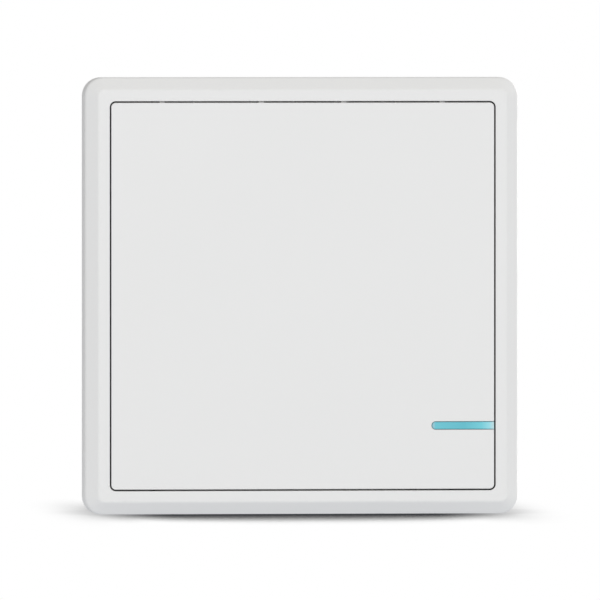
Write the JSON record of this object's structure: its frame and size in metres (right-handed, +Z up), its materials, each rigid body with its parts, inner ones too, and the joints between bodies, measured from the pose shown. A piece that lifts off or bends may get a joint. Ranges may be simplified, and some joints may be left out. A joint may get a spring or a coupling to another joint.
{
  "type": "wall light switch",
  "caption": "Square flat wall switch with a bevelled frame, one large top-hinged press key and a tinted indicator strip at its lower right edge.",
  "frame": {"origin": "middle of the flat back face of the base, on the wall plane", "axes": "+X to the right as seen from the front, +Y into the wall, +Z up; the key faces -Y"},
  "size_m": [0.086, 0.012, 0.086],
  "materials": {
    "white_frame": "white ABS moulding, lightly glossy",
    "white_key": "white ABS moulding, lightly glossy",
    "white_base": "white ABS moulding, matt",
    "tinted_strip": "translucent cyan plastic",
    "grey_rubber": "grey silicone rubber",
    "soft_rubber": "pale silicone rubber",
    "green_board": "green solder mask on glass-epoxy board",
    "screw_steel": "zinc-plated steel",
    "bright_steel": "nickel-plated steel",
    "cell_steel": "nickel-plated steel can",
    "tinned_metal": "tinned copper alloy",
    "black_plastic": "black moulded plastic",
    "stem_plastic": "black moulded plastic",
    "chip_black": "black moulding compound with tinned leads",
    "resistor_black": "glazed ceramic chip",
    "capacitor_tan": "fired ceramic chip",
    "lamp_lens": "clear epoxy lens on a white base",
    "copper_strip": "bare copper strip"
  },
  "bodies": {
    "housing": {"frame": "white_frame", "base_plate": "white_base", "stop_pads": "grey_rubber", "circuit_board": "green_board", "board_screws": "screw_steel", "switch_body": "black_plastic", "switch_cover": "bright_steel", "rubber_dome": "soft_rubber", "switch_pins": "tinned_metal", "coin_cell": "cell_steel", "cell_holder": "black_plastic", "negative_contact": "tinned_metal", "positive_clip": "bright_steel", "transmitter_chip": "chip_black", "quartz_crystal": "bright_steel", "rf_transistor": "chip_black", "chip_resistors": "resistor_black", "chip_capacitors": "capacitor_tan", "indicator_led": "lamp_lens", "antenna_loop": "copper_strip"},
    "press_key": {"key": "white_key", "indicator_strip": "tinted_strip"},
    "stem": {"switch_stem": "stem_plastic"}
  },
  "joints": [
    {"name": "key_press", "type": "hinge", "parent": "housing", "child": "press_key", "pos_m": [0, -0.009, 0.0389], "axis": [1, 0, 0], "range_deg": [0, 1.09], "stiffness_Nm_per_rad": 4, "springref_deg": -1.15},
    {"name": "stem_push", "type": "slide", "parent": "housing", "child": "stem", "axis": [0, 1, 0], "range_m": [0, 0.00125], "deforming": ["rubber_dome"]}
  ],
  "couplings": [
    {"joint": "stem_push", "follows": "key_press", "m_per_rad": 0.06285}
  ]
}
